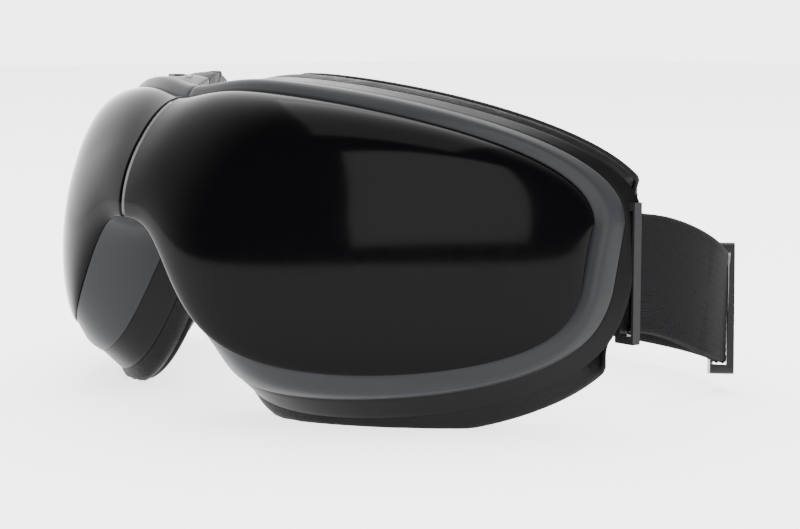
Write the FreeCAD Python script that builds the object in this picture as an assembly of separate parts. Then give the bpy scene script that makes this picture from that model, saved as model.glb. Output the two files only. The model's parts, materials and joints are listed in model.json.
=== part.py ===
import FreeCAD, Part
import math
import os

from FreeCAD import Vector

# Eye massager mask: two rigid halves that fold about a hinge over the nose, worn with
# an elastic strap. +X is one temple, -Y is the front, +Z is up, and the mask rests on
# the lower rims of its face cushions at Z = 0. Every size is in millimetres. Depths are
# counted from the front here, and each piece is moved as it is written so that the
# origin lies under the middle of the whole part.

os.makedirs("parts", exist_ok=True)

# ---- driving dimensions: the wrapped form of the mask -------------------------------
ORIGIN_Y = 75.55         # depth of the whole part's middle, where the origin is put
CENTRE_Z = 50.0          # height of the mask's middle line
FRONT_Y = -12.2          # front of the middle surface on the centre plane, at the floor
LEAN = 0.242             # how far the middle surface leans back for each mm of height
WRAP = 61.8              # how far it wraps back at 100 mm from the centre, square term
WRAP_TAIL = 16.6         # the same, fourth power term
SEAM_HALF_GAP = 0.15     # half of the gap between the two halves at the front
NOSE_SPREAD = 45.0       # width over which the nose region stands forward
NOSE_BACK_SPREAD = 30.0  # width over which the walls of the nose recess run deeper
TOP_SQUARE = 2.35        # squareness of the upper edges, 2 being an ellipse
CROWN_CENTRE = 8.0       # how far the front shell bulges at the seam
CROWN_SIDE = 14.3        # how far it bulges in front of each eye
CROWN_X = 45.0           # distance over which the bulge grows from the seam
CROWN_SQUARE = 2.4       # squareness of the bulge's upper shoulder
COLUMNS = 16             # spans of each curved face from the seam to the temple
ROWS = 12                # spans of each curved face from its lower edge to its upper

# ---- driving dimensions: walls and gaps ---------------------------------------------
SHELL_WALL = 2.2
FRAME_WALL = 2.4
PLATE_WALL = 2.5
SHELL_GAP = 0.35         # shadow line between the front shell and the frame
LAYER_GAP = 0.15
SOFT_GAP = 0.3
CARRIER_BACK = 7.5       # back face of the inner parts at the centre
CARRIER_FALL = 5.0       # how much nearer the front the carrier is at its outer end
CARRIER_HALF_WIDTH = 76.0
POCKET_HALF_WIDTH = 78.0 # where the hollow of the rear housing ends
CARRIER_WALL = 1.4

# ---- driving dimensions: hinge ------------------------------------------------------
HINGE_Y = 15.0
FOLD_LIMIT = 40.0        # degrees that each half turns
PIN_RADIUS = 1.5
PIN_LOW = 57.5
PIN_HIGH = 84.5
KNUCKLE_RADIUS = 3.4
KNUCKLE_LENGTH = 5.0
KNUCKLE_COUNT = 5
RUNNING_GAP = 0.05
HINGE_CLEARANCE = 4.4
LEAF_REACH = 15.0
LEAF_WALL = 1.4

# ---- driving dimensions: strap ------------------------------------------------------
STRAP_WIDTH = 32.0
STRAP_THICK = 1.4
STRAP_HALF_SPAN = 101.0
STRAP_START_Y = 84.0
STRAP_LOOP_DEPTH = 76.0
STRAP_SQUARENESS = 3.2
STRAP_TOP_Z = 40.0
STRAP_LOW_Z = 22.0
SIDE_START_Y = 87.0
SIDE_END_Y = 118.0
ANCHOR_DEPTH = 3.0
ANCHOR_ROOT = 1.2        # thickness of the root that is let into the housing
ANCHOR_ROOT_HEIGHT = 28.0
STRAP_POCKET_Y = 66.0    # depth from which the cushion leaves room for the anchor
ANCHOR_HEIGHT = 38.0
ANCHOR_SLOT = 33.6
ADJUSTER_Y = 140.0
ADJUSTER_HEIGHT = 38.0
ADJUSTER_LENGTH = 14.0
ADJUSTER_THICK = 6.8
ADJUSTER_SLOT = 3.6      # width of each window in the adjuster
ADJUSTER_WINDOW = 3.2    # distance of each window from the middle bar
LAYER_OFFSET = 1.9       # distance between the middles of the two strap layers
STRAP_CLEARANCE = 0.5    # room round the strap where it runs through the adjuster

# ---- driving dimensions: buttons, port and inner parts -------------------------------
BUTTON_LENGTH = 10.0
BUTTON_WIDTH = 3.4
BUTTON_STROKE = 0.6
BUTTON_LIFT = -4.7       # height of a button's foot over the top band, its cap is 5 high
BUTTON_X = (28.0, 40.5)
LIGHT_X = 18.0
PORT_X = 62.0
PORT_LENGTH = 8.9
PORT_WIDTH = 3.2
PORT_DEPTH = 7.0
HEATER_LIFT = 1.3        # eye pads: distance from the housing's rear face
HEATER_WALL = 0.6
AIRBAG_LIFT = 2.4
AIRBAG_THICK = 6.5
NODE_RADIUS = 3.4
NODE_SEATS = ((34, 61), (44, 65), (55, 62), (36, 48), (45, 42), (55, 45))
MOTOR_SEAT = (24.0, 72.0)
PUMP_SEAT = (57.0, 50.0)
VALVE_SEAT = (69.0, 52.0)
MANIFOLD_SEAT = (53.0, 29.2)
SCREW_SEATS = ((22.0, 80.0), (66.0, 74.5), (44.0, 13.0), (74.0, 26.0))


def smooth(value):
    """Smooth step from 0 to 1."""
    value = min(max(value, 0.0), 1.0)
    return value * value * (3.0 - 2.0 * value)


def middle_y(x, z):
    """Depth of the mask's middle surface, which wraps back towards the temples."""
    reach = abs(x) / 100.0
    return FRONT_Y + LEAN * z + WRAP * reach**2 + WRAP_TAIL * reach**4


class Ring:
    """One closed outline of a half: seam, lower edge with the nose notch, temple, top."""

    def __init__(self, half_width, rise, drop, square, back, back_temple,
                 notch_width, notch_top, push=0.0, deepen=0.0, roll=0.0,
                 seam=SEAM_HALF_GAP, wrap_width=None, top_square=TOP_SQUARE):
        self.half_width = half_width
        self.rise = rise
        self.drop = drop
        self.square = square
        self.back = back
        self.back_temple = back_temple
        self.notch_width = notch_width
        self.notch_top = notch_top
        self.push = push
        self.deepen = deepen
        self.roll = roll
        self.seam = seam
        self.wrap_width = wrap_width or half_width
        self.top_square = top_square

    def end_x(self):
        return 0.99 * self.half_width

    def top_z(self, x):
        reach = (1.0 - (x / self.half_width)**self.top_square)**(1.0 / self.top_square)
        return CENTRE_Z + self.rise * reach - 3.0 * math.exp(-(x / 15.0)**2)

    def bottom_z(self, x):
        reach = (1.0 - (x / self.half_width)**self.square)**(1.0 / self.square)
        floor = CENTRE_Z - self.drop
        notch = (self.notch_top - floor) / (1.0 + (x / self.notch_width)**3)
        return CENTRE_Z - self.drop * reach + notch

    def shift(self, x):
        part = (x / self.half_width)**2
        return self.back + (self.back_temple - self.back) * part

    def surface_y(self, x, z):
        return middle_y(100.0 * x / self.wrap_width, z) + self.shift(x)

    def top_point(self, x):
        z = self.top_z(x)
        y = self.surface_y(x, z) + self.roll * math.exp(-(x / NOSE_SPREAD)**2)
        return Vector(x, y, z)

    def bottom_point(self, x):
        z = self.bottom_z(x)
        y = self.surface_y(x, z)
        y -= self.push * math.exp(-(x / NOSE_SPREAD)**2)
        y += self.deepen * math.exp(-(x / NOSE_BACK_SPREAD)**2)
        return Vector(x, y, z)

    def inset(self, wall, back=0.0):
        """The same outline moved in by a wall, and back by another distance."""
        return Ring(self.half_width - wall, self.rise - wall, self.drop - wall, self.square,
                    self.back + back, self.back_temple + back,
                    self.notch_width + 0.6 * wall, self.notch_top + wall,
                    self.push, self.deepen, self.roll, self.seam + wall,
                    self.wrap_width - wall, self.top_square)

    def pocket(self, wall, half_width, back=0.0):
        """Outline on the same surface, moved in by a wall and ended nearer the nose."""
        return Ring(half_width, self.rise - wall, self.drop - wall, self.square,
                    self.back + back, self.shift(half_width) + back,
                    self.notch_width + 0.6 * wall, self.notch_top + wall,
                    self.push, self.deepen, self.roll, self.seam + wall,
                    self.wrap_width, self.top_square)


def crown_height(x, t, end_x):
    """Bulge of the front shell: a soft lower side and a tighter upper shoulder."""
    grow = CROWN_CENTRE + (CROWN_SIDE - CROWN_CENTRE) * smooth(x / CROWN_X)
    fade = (1.0 - (x / (end_x + 0.01))**5)**0.4
    place = 2.0 * t**1.5 - 1.0
    if place > 0.0:
        profile = (1.0 - place**CROWN_SQUARE)**(1.0 / CROWN_SQUARE)
    else:
        profile = (1.0 - place**2)**0.5
    return grow * fade * profile


def ring_surface(ring, crown=False):
    """B-spline surface spanned across one ring, bulged forward if it is a crown."""
    points = []
    end_x = ring.end_x()
    for column in range(COLUMNS + 1):
        x = ring.seam + (end_x - ring.seam) * math.sin(0.5 * math.pi * column / COLUMNS)
        low = ring.bottom_point(x)
        high = ring.top_point(x)
        line = []
        for row in range(ROWS + 1):
            t = 0.5 - 0.5 * math.cos(math.pi * row / ROWS)
            point = low + (high - low) * t
            if crown:
                point.y -= crown_height(x, t, end_x)
            line.append(point)
        points.append(line)
    surface = Part.BSplineSurface()
    surface.interpolate(points)
    return surface


def border(surface):
    """The four border edges of a surface, always in the same order."""
    u_low, u_high, v_low, v_high = surface.bounds()
    curves = (surface.uIso(u_low), surface.uIso(u_high), surface.vIso(v_low), surface.vIso(v_high))
    return [curve.toShape() for curve in curves]


def walls(surfaces):
    """Ruled faces between the borders of each surface and the next."""
    faces = []
    for front, rear in zip(surfaces, surfaces[1:]):
        for edge, other in zip(border(front), border(rear)):
            faces.append(Part.makeRuledSurface(edge, other))
    return faces


def closed(faces):
    """Solid bounded by faces whose edges meet."""
    shell = Part.makeShell(faces)
    shell.sewShape()
    solid = Part.makeSolid(shell)
    if solid.Volume < 0.0:
        solid.reverse()
    return solid


def stack(surfaces):
    """Closed solid whose ends are the first and last surface."""
    ends = [surfaces[0].toShape(), surfaces[-1].toShape()]
    return closed(ends + walls(surfaces))


def stack_rings(rings):
    return stack([ring_surface(ring) for ring in rings])


def tube_rings(outer_rings, inner_rings):
    """Wall between two stacks of rings, open at the front and the rear."""
    outer = [ring_surface(ring) for ring in outer_rings]
    inner = [ring_surface(ring) for ring in inner_rings]
    rims = walls([outer[0], inner[0]]) + walls([outer[-1], inner[-1]])
    return closed(walls(outer) + walls(inner) + rims)


def block(x_low, x_high, y_low, y_high, z_low, z_high):
    corner = Vector(x_low, y_low, z_low)
    return Part.makeBox(x_high - x_low, y_high - y_low, z_high - z_low, corner)


def centred_block(length, depth, height, edge_round=0.0):
    """Block centred on the origin, with rounded upright edges if asked."""
    shape = Part.makeBox(length, depth, height, Vector(-length / 2, -depth / 2, -height / 2))
    if edge_round > 0.0:
        upright = [e for e in shape.Edges if abs(e.tangentAt(e.FirstParameter).z) > 0.9]
        shape = shape.makeFillet(edge_round, upright)
    return shape


def pill(length, width, height):
    """Upright prism with a pill outline, centred on the origin, bottom at Z = 0."""
    radius = width / 2.0
    straight = length - width
    core = Part.makeBox(straight, width, height, Vector(-straight / 2, -radius, 0))
    left = Part.makeCylinder(radius, height, Vector(-straight / 2, 0, 0))
    right = Part.makeCylinder(radius, height, Vector(straight / 2, 0, 0))
    return core.fuse([left, right]).removeSplitter()


def upright_cylinder(radius, height):
    return Part.makeCylinder(radius, height, Vector(0, 0, -height / 2))


def slope_at(x):
    """Turn of the middle surface about Z, in degrees, and its backward lean."""
    reach = x / 100.0
    turn = math.atan((2.0 * WRAP * reach + 4.0 * WRAP_TAIL * reach**3) / 100.0)
    lean = math.atan(LEAN * math.cos(turn))
    return turn, lean


def carrier_back(x):
    return CARRIER_BACK - CARRIER_FALL * (x / CARRIER_HALF_WIDTH)**2


def moved(shape, place):
    """A copy of a shape carried along by one more placement."""
    copied = shape.copy()
    copied.Placement = place.multiply(shape.Placement)
    return copied


def seat(shape, x, z, offset, ring=None):
    """Place a shape on a ring's surface: offset is its distance in front of it.

    Without a ring it stands on the front of the inner carrier.
    """
    turn, lean = slope_at(x)
    back = ring.surface_y(x, z) - middle_y(x, z) if ring else carrier_back(x)
    front = Vector(math.sin(turn), -math.cos(turn), 0)
    base = Vector(x, middle_y(x, z) + back, z) + front * offset
    about_z = FreeCAD.Rotation(Vector(0, 0, 1), math.degrees(turn))
    about_x = FreeCAD.Rotation(Vector(1, 0, 0), -math.degrees(lean))
    return moved(shape, FreeCAD.Placement(base, about_z.multiply(about_x)))


def mirrored(shape):
    return shape.mirror(Vector(0, 0, 0), Vector(1, 0, 0))


# ---- the outlines of the layers, from front to back ----------------------------------
SHELL_EDGE = Ring(97.5, 39.0, 38.0, 5.0, 0.0, 0.0, 25.2, 53.6, push=9.7, roll=3.6,
                  wrap_width=100.0)
BEVEL_EDGE = Ring(100.2, 41.7, 43.0, 4.8, 5.5, 3.0, 23.5, 51.6, push=8.0, deepen=2.0,
                  wrap_width=103.0)
FRAME_REAR = Ring(100.8, 41.9, 43.8, 4.6, 9.0, 8.1, 17.0, 51.0, push=4.0, deepen=8.0,
                  wrap_width=103.3)
HOUSING_REAR = Ring(102.5, 42.3, 49.5, 4.4, 17.5, 13.0, 15.5, 50.2, push=2.0, deepen=8.0,
                    wrap_width=105.0)
CUSHION_RIM = Ring(103.5, 43.0, 55.0, 4.4, 23.0, 15.5, 15.5, 49.8, deepen=6.0,
                   wrap_width=106.0)
CUSHION_SHOULDER = Ring(101.5, 41.0, 50.5, 4.4, 30.0, 18.0, 17.5, 51.0, deepen=5.0,
                        wrap_width=104.0)
CUSHION_REAR = Ring(95.0, 36.0, 44.0, 4.4, 37.0, 19.5, 21.0, 54.0, deepen=4.0,
                    wrap_width=97.0)
EYE_FLOOR = Ring(82.0, 27.0, 31.0, 3.4, 18.4, 15.9, 27.0, 60.0, deepen=6.0, seam=15.0,
                 wrap_width=105.0, top_square=3.0)
EYE_MOUTH = Ring(85.0, 28.0, 34.5, 3.4, 37.0, 23.0, 29.0, 59.0, seam=14.0,
                 wrap_width=97.0, top_square=3.0)


def fold_wedge():
    """Room behind the hinge that closes when a half folds in."""
    reach = 60.0
    spread = reach * math.tan(math.radians(FOLD_LIMIT + 1.0))
    corners = [
        Vector(-2, HINGE_Y, -5),
        Vector(SEAM_HALF_GAP + 0.2, HINGE_Y, -5),
        Vector(SEAM_HALF_GAP + 0.2 + spread, HINGE_Y + reach, -5),
        Vector(-2, HINGE_Y + reach, -5),
        Vector(-2, HINGE_Y, -5),
    ]
    return Part.Face(Part.makePolygon(corners)).extrude(Vector(0, 0, 110))


def hinge_room():
    height = PIN_HIGH - PIN_LOW + 2.0
    return Part.makeCylinder(HINGE_CLEARANCE, height, Vector(0, HINGE_Y, PIN_LOW - 1.0))


def cable_window():
    """Opening in the seam wall for the ribbon cable and the bridge hose."""
    return block(-4.0, 4.0, 1.5, 8.0, 58.0, 78.0)


def floor_cut():
    return block(-120, 120, -40, 180, -10, 0)


def front_shell():
    outer = ring_surface(SHELL_EDGE, crown=True)
    inner = ring_surface(SHELL_EDGE.inset(SHELL_WALL, 0.6), crown=True)
    return stack([outer, inner])


def frame_tube():
    front = SHELL_EDGE.inset(0.0, SHELL_GAP)
    inner_front = front.inset(FRAME_WALL, 2.0 * SHELL_GAP)
    inner = [inner_front, BEVEL_EDGE.inset(FRAME_WALL), FRAME_REAR.inset(FRAME_WALL)]
    return tube_rings([front, BEVEL_EDGE, FRAME_REAR], inner)


def frame_half():
    return frame_tube().cut([fold_wedge(), hinge_room(), cable_window()])


def housing_plate():
    return stack_rings([FRAME_REAR.inset(0.0, LAYER_GAP), HOUSING_REAR])


def housing_half():
    """Plate behind the frame, hollowed from the front to make room for the inner parts."""
    mouth = FRAME_REAR.pocket(FRAME_WALL, POCKET_HALF_WIDTH, -1.0)
    floor = HOUSING_REAR.pocket(FRAME_WALL + 1.0, POCKET_HALF_WIDTH, -PLATE_WALL)
    solid = housing_plate().cut(stack_rings([mouth, floor]))
    solid = solid.cut([frame_tube(), front_shell()])
    return solid.cut([fold_wedge(), hinge_room(), screw_group(), strap_anchor()])


def cushion_half():
    front = HOUSING_REAR.inset(0.0, LAYER_GAP)
    outer = [front, CUSHION_RIM, CUSHION_SHOULDER, CUSHION_REAR]
    solid = tube_rings(outer, [EYE_FLOOR, EYE_MOUTH])
    solid = solid.cut([frame_tube(), housing_plate()])
    return solid.cut([fold_wedge(), floor_cut(), strap_pocket()])


def carrier_half():
    front = Ring(CARRIER_HALF_WIDTH, 31.5, 31.0, 6.0, CARRIER_BACK, CARRIER_BACK - CARRIER_FALL,
                 32.0, 60.0, seam=19.0, wrap_width=100.0, top_square=4.0)
    return stack_rings([front, front.inset(0.0, CARRIER_WALL)])


def pad_ring(lift, trim):
    """Outline of the eye pads at a height above the housing's rear face."""
    back = HOUSING_REAR.back + lift
    return Ring(70.0 - trim, 22.0 - trim, 22.0 - trim, 4.0, back, back - 2.3, 25.0 + trim, 61.5,
                deepen=6.0, seam=25.5 + trim, wrap_width=HOUSING_REAR.wrap_width,
                top_square=4.0)


def heating_pad():
    front = pad_ring(HEATER_LIFT, 2.0)
    return stack_rings([front, front.inset(0.0, HEATER_WALL)])


def eye_airbag():
    return stack_rings([pad_ring(AIRBAG_LIFT, 0.0), pad_ring(AIRBAG_LIFT + AIRBAG_THICK, 4.0)])


def temple_airbag():
    shape = centred_block(7.0, 5.0, 20.0, 2.0)
    return seat(shape, 79.0, 47.0, -4.2, HOUSING_REAR)


def massage_nodes():
    """Firm round nodes on the eye airbag, in two arcs."""
    nodes = []
    face = pad_ring(AIRBAG_LIFT + AIRBAG_THICK, 4.0)
    for x, z in NODE_SEATS:
        ball = Part.makeSphere(NODE_RADIUS)
        cap = ball.common(block(-4, 4, 0.4, 4, -4, 4))
        nodes.append(seat(cap, x, z, 0.3, face))
    return Part.makeCompound(nodes).cut(eye_airbag())


def screw_group():
    screws = []
    for x, z in SCREW_SEATS:
        shank = Part.makeCylinder(1.2, 5.0, Vector(0, 0, 0), Vector(0, -1, 0))
        head = Part.makeCylinder(2.2, 1.6, Vector(0, 0, 0), Vector(0, 1, 0))
        screws.append(seat(shank.fuse(head), x, z, 2.1, HOUSING_REAR))
    return Part.makeCompound(screws)


def knuckles(side):
    """Hinge leaf and the knuckles that belong to one half."""
    base_z = 0.5 * (PIN_LOW + PIN_HIGH) - 0.5 * KNUCKLE_COUNT * KNUCKLE_LENGTH
    first = 0 if side > 0 else 1
    leaf = block(KNUCKLE_RADIUS + 1.2, LEAF_REACH, HINGE_Y - LEAF_WALL, HINGE_Y,
                 base_z, base_z + KNUCKLE_COUNT * KNUCKLE_LENGTH)
    shape = leaf
    for index in range(first, KNUCKLE_COUNT, 2):
        low = base_z + index * KNUCKLE_LENGTH + 0.1
        length = KNUCKLE_LENGTH - 0.2
        barrel = Part.makeCylinder(KNUCKLE_RADIUS, length, Vector(0, HINGE_Y, low))
        tab = block(0.0, KNUCKLE_RADIUS + 1.3, HINGE_Y - LEAF_WALL, HINGE_Y, low, low + length)
        shape = shape.fuse([barrel, tab])
    bore = Part.makeCylinder(PIN_RADIUS + RUNNING_GAP, 40.0, Vector(0, HINGE_Y, 50.0))
    shape = shape.cut(bore)
    return shape if side > 0 else mirrored(shape)


def hinge_pin():
    return Part.makeCylinder(PIN_RADIUS, PIN_HIGH - PIN_LOW, Vector(0, HINGE_Y, PIN_LOW))


def bridge_cover():
    """Soft wedge behind the hinge that covers the room the halves fold into."""
    slope = math.tan(math.radians(FOLD_LIMIT + 1.0))
    low_y = HINGE_Y + HINGE_CLEARANCE + 0.6
    high_y = HINGE_Y + 13.0
    near = SEAM_HALF_GAP + (low_y - HINGE_Y) * slope - SOFT_GAP - 0.2
    far = SEAM_HALF_GAP + (high_y - HINGE_Y) * slope - SOFT_GAP - 0.2
    corners = [
        Vector(-near, low_y, 53.0),
        Vector(near, low_y, 53.0),
        Vector(far, high_y, 53.0),
        Vector(-far, high_y, 53.0),
        Vector(-near, low_y, 53.0),
    ]
    return Part.Face(Part.makePolygon(corners)).extrude(Vector(0, 0, 33.0))


def bridge_cable():
    return block(-6.0, 6.0, 4.4, 4.9, 66.0, 76.0)


def bridge_hose():
    tube = Part.makeCylinder(1.6, 12.0, Vector(-6, 5, 61.5), Vector(1, 0, 0))
    bore = Part.makeCylinder(0.9, 12.0, Vector(-6, 5, 61.5), Vector(1, 0, 0))
    return tube.cut(bore)


def strap_line(y):
    """Middle of the strap in plan at one depth, on the +X side."""
    part = (y - STRAP_START_Y) / STRAP_LOOP_DEPTH
    part = min(max(part, 0.0), 1.0)
    return STRAP_HALF_SPAN * (1.0 - part**STRAP_SQUARENESS)**(1.0 / STRAP_SQUARENESS)


def strap_point(angle):
    """Middle of the strap at an angle from 0, at the +X temple, to pi at the other."""
    power = 2.0 / STRAP_SQUARENESS
    across = math.cos(angle)
    x = math.copysign(STRAP_HALF_SPAN * abs(across)**power, across)
    y = STRAP_START_Y + STRAP_LOOP_DEPTH * max(math.sin(angle), 0.0)**power
    return Vector(x, y, strap_height(y))


def strap_axes(angle):
    """Directions along the strap, towards the inside of its loop, and up its width."""
    step = 0.002
    along = (strap_point(angle + step) - strap_point(angle - step)).normalize()
    inward = Vector(-along.y, along.x, 0).normalize()
    return along, inward, along.cross(inward)


def strap_height(y):
    """Height of the strap's middle, which droops behind the mask."""
    drop = STRAP_TOP_Z - STRAP_LOW_Z
    return STRAP_TOP_Z - drop * smooth((y - STRAP_START_Y) / 70.0)


def angle_at_y(y):
    part = (y - STRAP_START_Y) / STRAP_LOOP_DEPTH
    return math.asin(part**(STRAP_SQUARENESS / 2.0))


def strap_band(angles, offset=0.0, thick=STRAP_THICK, width=STRAP_WIDTH):
    """Flat band along the strap's line, moved towards the inside of the loop."""
    outer = []
    inner = []
    for angle in angles:
        _, inward, up = strap_axes(angle)
        middle = strap_point(angle) + inward * offset
        half = inward * (thick / 2.0)
        rise = up * (width / 2.0)
        outer.append([middle - half - rise, middle - half, middle - half + rise])
        inner.append([middle + half - rise, middle + half, middle + half + rise])
    surfaces = []
    for rows in (outer, inner):
        surface = Part.BSplineSurface()
        surface.interpolate(rows)
        surfaces.append(surface)
    return stack(surfaces)


def angles_between(low, high, count):
    return [low + (high - low) * i / count for i in range(count + 1)]


def side_angles(y_low, y_high, count):
    return angles_between(angle_at_y(y_low), angle_at_y(y_high), count)


def strap_side():
    return strap_band(side_angles(SIDE_START_Y, SIDE_END_Y, 8))


def strap_return():
    """Inner layer between the temple anchor and the adjuster."""
    return strap_band(side_angles(SIDE_START_Y, ADJUSTER_Y, 10), offset=LAYER_OFFSET)


def strap_rear():
    start = angle_at_y(SIDE_END_Y + 0.1)
    return strap_band(angles_between(start, math.pi - start, 24))


def slide_adjuster():
    """Flat sleeve round both strap layers, with two windows and a bar between them."""
    plate = centred_block(ADJUSTER_LENGTH, ADJUSTER_THICK, ADJUSTER_HEIGHT)
    edges = [e for e in plate.Edges if abs(e.tangentAt(e.FirstParameter).y) > 0.9]
    plate = plate.makeFillet(2.0, edges)
    plate.translate(Vector(0, LAYER_OFFSET / 2.0, 0))
    angle = angle_at_y(ADJUSTER_Y)
    along, inward, up = strap_axes(angle)
    turn = FreeCAD.Rotation(along, inward, up, "XYZ")
    place = FreeCAD.Placement(strap_point(angle), turn)
    plate = moved(plate, place)
    path = side_angles(ADJUSTER_Y - 12.0, ADJUSTER_Y + 10.0, 8)
    thick = STRAP_THICK + LAYER_OFFSET + 2.0 * STRAP_CLEARANCE
    width = STRAP_WIDTH + 2.0 * STRAP_CLEARANCE
    plate = plate.cut(strap_band(path, LAYER_OFFSET / 2.0, thick, width))
    for offset in (-ADJUSTER_WINDOW, ADJUSTER_WINDOW):
        window = centred_block(ADJUSTER_SLOT, 20.0, STRAP_WIDTH - 6.0)
        window.translate(Vector(offset, 0, 0))
        plate = plate.cut(moved(window, place))
    return plate


def strap_anchor():
    """Loop at the temple that holds the end of the strap."""
    middle = strap_line(SIDE_START_Y)
    inner_x = middle - LAYER_OFFSET - 3.0
    outer_x = middle + 1.6
    low_y = SIDE_START_Y - ANCHOR_DEPTH
    low_z = STRAP_TOP_Z - ANCHOR_HEIGHT / 2.0
    high_z = STRAP_TOP_Z + ANCHOR_HEIGHT / 2.0
    plate = block(inner_x, outer_x, low_y, SIDE_START_Y - 0.2, low_z, high_z)
    slot = block(inner_x + 1.8, outer_x - 0.7, low_y - 1.0, SIDE_START_Y + 1.0,
                 STRAP_TOP_Z - ANCHOR_SLOT / 2.0, STRAP_TOP_Z + ANCHOR_SLOT / 2.0)
    root_x = inner_x + ANCHOR_ROOT
    root_low = STRAP_TOP_Z - ANCHOR_ROOT_HEIGHT / 2.0
    root_high = STRAP_TOP_Z + ANCHOR_ROOT_HEIGHT / 2.0
    corners = [
        Vector(inner_x, low_y + 1.0, root_low),
        Vector(inner_x, low_y + 1.0, root_high),
        Vector(inner_x, FRAME_REAR.surface_y(root_x, root_high) + 0.9, root_high),
        Vector(inner_x, FRAME_REAR.surface_y(root_x, root_low) + 0.9, root_low),
        Vector(inner_x, low_y + 1.0, root_low),
    ]
    root = Part.Face(Part.makePolygon(corners)).extrude(Vector(ANCHOR_ROOT, 0, 0))
    return plate.cut(slot).fuse(root).cut(frame_tube())


def strap_pocket():
    """Room in the cushion's temple end for the anchor and the strap."""
    inner_x = strap_line(SIDE_START_Y) - LAYER_OFFSET - 3.3
    half = ANCHOR_HEIGHT / 2.0 + 0.3
    low_z = STRAP_TOP_Z - half
    return block(inner_x, 120.0, STRAP_POCKET_Y, 130.0, low_z, STRAP_TOP_Z + half)


def battery():
    return seat(centred_block(36.0, 6.0, 30.0, 2.0), 50.0, 52.0, 3.4)


def main_board():
    return seat(centred_block(20.0, 1.2, 34.0), 38.0, 51.0, 1.0)


def charge_board():
    return seat(centred_block(12.0, 1.2, 16.0), 60.0, 27.0, 1.0)


def air_pump():
    body = upright_cylinder(5.0, 22.0)
    head = centred_block(11.0, 9.6, 9.0)
    head.translate(Vector(0, 0, 15.4))
    return seat(body.fuse(head), PUMP_SEAT[0], PUMP_SEAT[1], 5.3)


def pump_crank():
    disc = upright_cylinder(4.2, 2.4)
    weight = Part.makeCylinder(1.3, 2.2, Vector(2.4, 0, -3.4))
    shape = disc.fuse(weight)
    shape.translate(Vector(0, 0, -12.6))
    return seat(shape, PUMP_SEAT[0], PUMP_SEAT[1], 5.3)


def air_valve():
    body = centred_block(7.0, 6.0, 15.0, 1.0)
    bore = Part.makeCylinder(1.6, 9.0, Vector(0, 0, 1.0))
    return seat(body.cut(bore), VALVE_SEAT[0], VALVE_SEAT[1], 3.4)


def valve_plunger():
    rod = Part.makeCylinder(1.5, 10.0, Vector(0, 0, 2.0))
    return seat(rod, VALVE_SEAT[0], VALVE_SEAT[1], 3.4)


def air_manifold():
    """Branch block that sends air to the eye and temple airbags."""
    core = centred_block(8.0, 6.0, 6.0, 1.0)
    for x in (-6.0, 0.0, 6.0):
        spigot = Part.makeCylinder(1.3, 5.0, Vector(x / 3.0, 0, 2.0))
        core = core.fuse(spigot)
    return seat(core, MANIFOLD_SEAT[0], MANIFOLD_SEAT[1], 3.4)


def vibration_motor():
    return seat(upright_cylinder(3.5, 11.0), MOTOR_SEAT[0], MOTOR_SEAT[1], 3.9)


def motor_weight():
    """Half-round eccentric weight on the motor's shaft."""
    disc = Part.makeCylinder(3.2, 3.6, Vector(0, 0, 6.0))
    keep = block(-4, 4, -0.6, 4, 5, 10)
    return seat(disc.common(keep), MOTOR_SEAT[0], MOTOR_SEAT[1], 3.9)


def speaker():
    disc = Part.makeCylinder(6.5, 2.4, Vector(0, -1.2, 0), Vector(0, 1, 0))
    magnet = Part.makeCylinder(4.0, 1.4, Vector(0, -2.6, 0), Vector(0, 1, 0))
    return seat(disc.fuse(magnet), 81.0, 60.0, 1.7, FRAME_REAR)


def band_middle_y(x, z):
    """Middle of the housing's band, between the frame and the cushion."""
    return 0.5 * (FRAME_REAR.surface_y(x, z) + HOUSING_REAR.surface_y(x, z))


def top_seat(shape, x, lift=0.0):
    """Stand a shape on the top band of a half, turned along it."""
    turn, _ = slope_at(x)
    z = HOUSING_REAR.top_z(x)
    base = Vector(x, band_middle_y(x, z), z + lift)
    about_z = FreeCAD.Rotation(Vector(0, 0, 1), math.degrees(turn))
    return moved(shape, FreeCAD.Placement(base, about_z))


def button(x):
    cap = pill(BUTTON_LENGTH, BUTTON_WIDTH, 5.0)
    return top_seat(cap, x, lift=BUTTON_LIFT)


def button_hole(x):
    hole = pill(BUTTON_LENGTH + 0.6, BUTTON_WIDTH + 0.6, 10.0)
    return top_seat(hole, x, lift=-7.0)


def button_switch(x):
    body = centred_block(5.0, 2.2, 1.6)
    body.translate(Vector(0, -2.2, 0))
    return top_seat(body, x, lift=BUTTON_LIFT - BUTTON_STROKE - 2.2)


def status_light():
    return top_seat(Part.makeCylinder(1.1, 5.0), LIGHT_X, lift=-4.6)


def port_place(shape):
    turn, _ = slope_at(PORT_X)
    z = 0.5 * (FRAME_REAR.bottom_z(PORT_X) + HOUSING_REAR.bottom_z(PORT_X))
    base = Vector(PORT_X, band_middle_y(PORT_X, z), z)
    about_z = FreeCAD.Rotation(Vector(0, 0, 1), math.degrees(turn))
    return moved(shape, FreeCAD.Placement(base, about_z))


def charge_port():
    """Socket that opens downwards in the lower band."""
    outside = pill(PORT_LENGTH + 1.6, PORT_WIDTH + 1.6, PORT_DEPTH + 1.0)
    hollow = pill(PORT_LENGTH, PORT_WIDTH, PORT_DEPTH)
    tongue = block(-3.2, 3.2, -0.35, 0.35, 1.2, PORT_DEPTH + 0.5)
    socket = outside.cut(hollow).fuse(tongue)
    return port_place(socket)


def port_hole():
    hole = pill(PORT_LENGTH + 1.7, PORT_WIDTH + 1.7, PORT_DEPTH + 10.0)
    hole.translate(Vector(0, 0, -6.0))
    return port_place(hole)


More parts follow.
